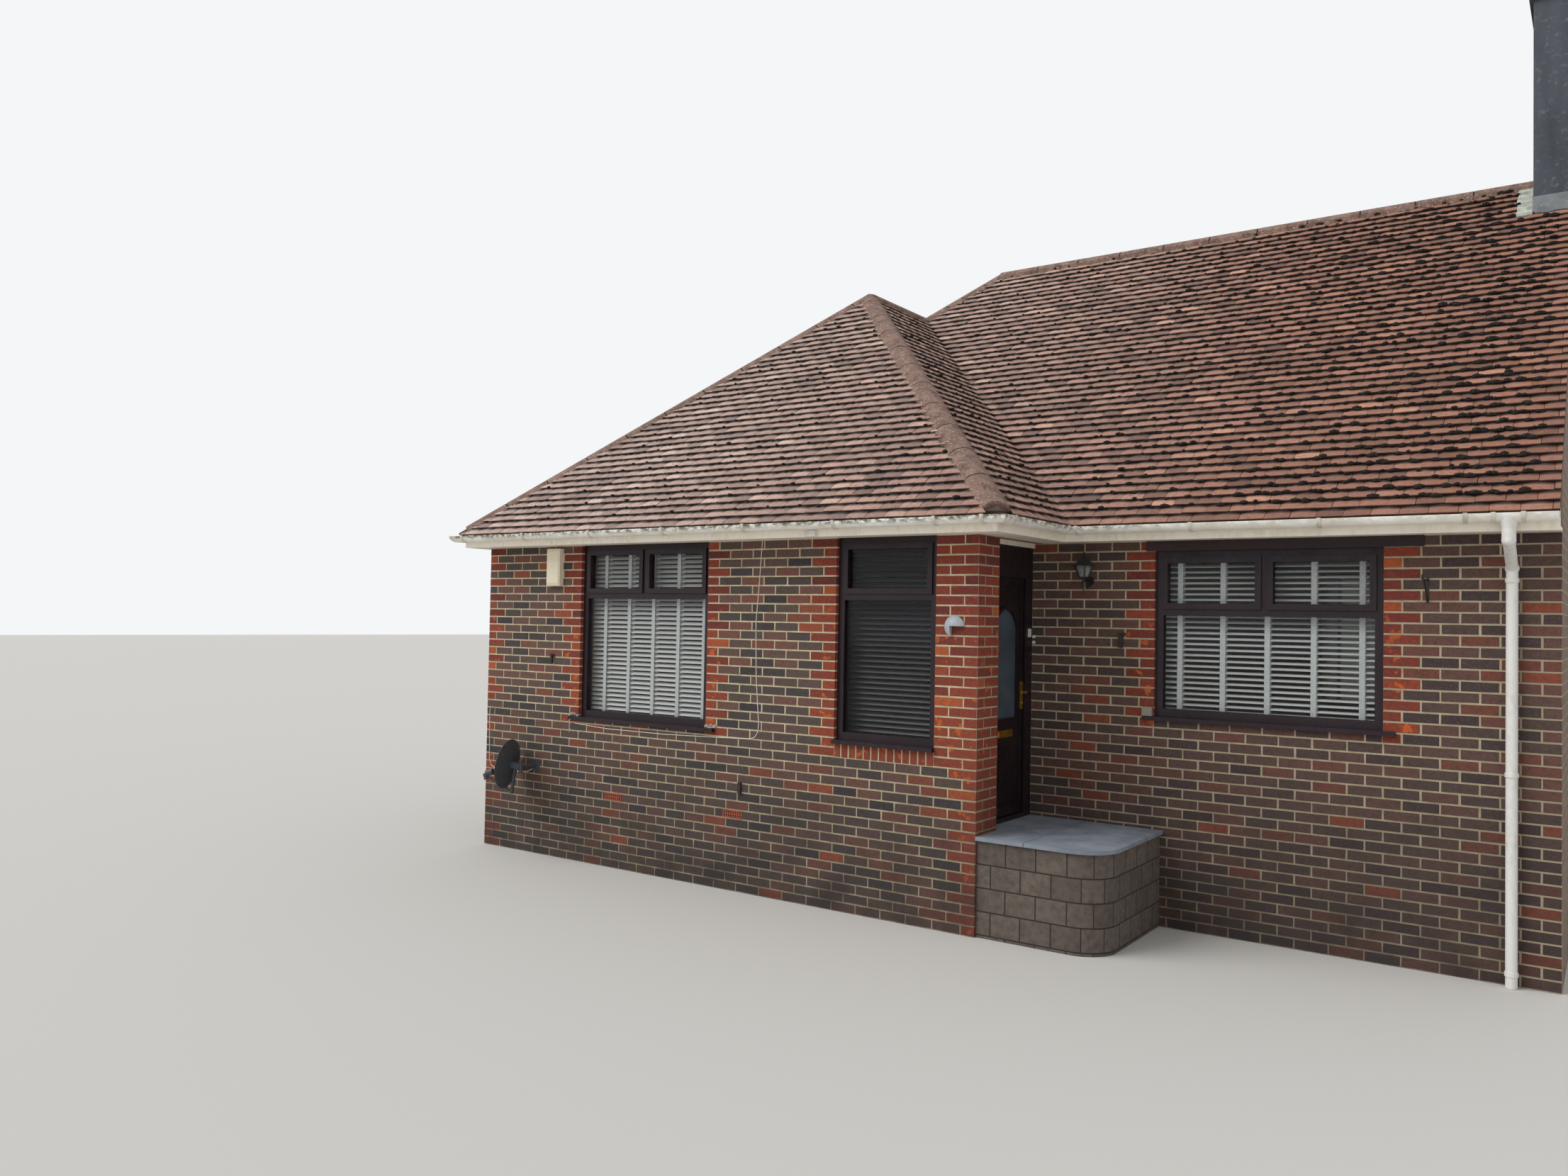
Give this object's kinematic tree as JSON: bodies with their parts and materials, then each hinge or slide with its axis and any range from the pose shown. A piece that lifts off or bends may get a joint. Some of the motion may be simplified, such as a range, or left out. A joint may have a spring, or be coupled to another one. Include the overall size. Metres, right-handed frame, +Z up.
{
  "type": "semi-detached bungalow",
  "caption": "Brick semi-detached bungalow with a hipped tile roof, a projecting front wing, dark window frames and a side front door that opens.",
  "frame": {"origin": "under the middle of the whole plan, gutters included, on the level of the lowest wall foot", "axes": "+Z up; the front with the wing faces -Y; the party wall closes the +X end"},
  "size_m": [8.83, 8.2942, 8.0439],
  "materials": {
    "brick": "multi-coloured fired brick with buff mortar",
    "red_brick": "red fired brick with buff mortar",
    "plain_brick": "plain common brick",
    "timber": "sawn softwood",
    "plaster": "plain plaster",
    "step_slab": "pale concrete slab",
    "edging_block": "rough concrete block",
    "frame_plastic": "dark woodgrain foil",
    "glass": "clear float glass",
    "dark_board": "weathered board",
    "roof_tile": "weathered clay tile",
    "cap_tile": "weathered arched clay tile in mortar",
    "white_plastic": "aged white",
    "render": "grey cement render",
    "clay_pot": "plain terracotta",
    "door_plastic": "dark woodgrain foil",
    "gold": "polished brass finish",
    "lead": "weathered lead sheet",
    "black_iron": "black painted iron",
    "grey_metal": "pale grey painted metal",
    "cream_plastic": "aged cream",
    "dish_steel": "dark grey painted steel",
    "terracotta": "unglazed terracotta"
  },
  "bodies": {
    "house": {"wing_left_pier": "brick", "wing_window_walls": "brick", "wing_middle_pier": "brick", "door_pier": "red_brick", "doorway_base_wall": "brick", "main_left_pier": "brick", "main_window_wall": "brick", "main_right_pier": "brick", "left_side_wall": "brick", "rear_wall": "brick", "party_wall": "plain_brick", "wall_heads": "timber", "ceiling": "plaster", "floor": "timber", "doorstep_slab": "step_slab", "doorstep_base": "edging_block", "window_sills": "frame_plastic", "wing_window_frames": "frame_plastic", "main_window_frame": "frame_plastic", "back_window_frames": "frame_plastic", "window_sashes": "frame_plastic", "window_glass": "glass", "main_window_lintel": "dark_board", "wing_front_slope": "roof_tile", "wing_right_slope": "roof_tile", "wing_left_slope": "roof_tile", "main_front_slope": "roof_tile", "main_left_slope": "roof_tile", "main_rear_slope": "roof_tile", "ridge_tiles": "cap_tile", "hip_tiles": "cap_tile", "fascia_boards": "white_plastic", "soffit_boards": "white_plastic", "gutters": "white_plastic", "gutter_brackets": "white_plastic", "downpipe": "white_plastic", "chimney_stack": "render", "chimney_flashing": "lead", "chimney_pot": "clay_pot", "door_frame": "frame_plastic", "wall_lantern": "black_iron", "lantern_glass": "glass", "crescent_light": "grey_metal", "alarm_box": "cream_plastic", "dish_aerial": "dish_steel", "basket_bracket": "black_iron", "air_bricks": "terracotta", "bracket_remains": "black_iron", "small_boxes": "white_plastic", "wall_cables": "white_plastic"},
    "door": {"front_door": "door_plastic", "door_glass": "glass", "door_handle": "gold", "letter_plate": "gold"}
  },
  "joints": [
    {"name": "front_door_hinge", "type": "hinge", "parent": "house", "child": "door", "pos_m": [0.8155, -3.2959, 1.7687], "axis": [0, 0, 1], "range_deg": [0, 90]}
  ]
}
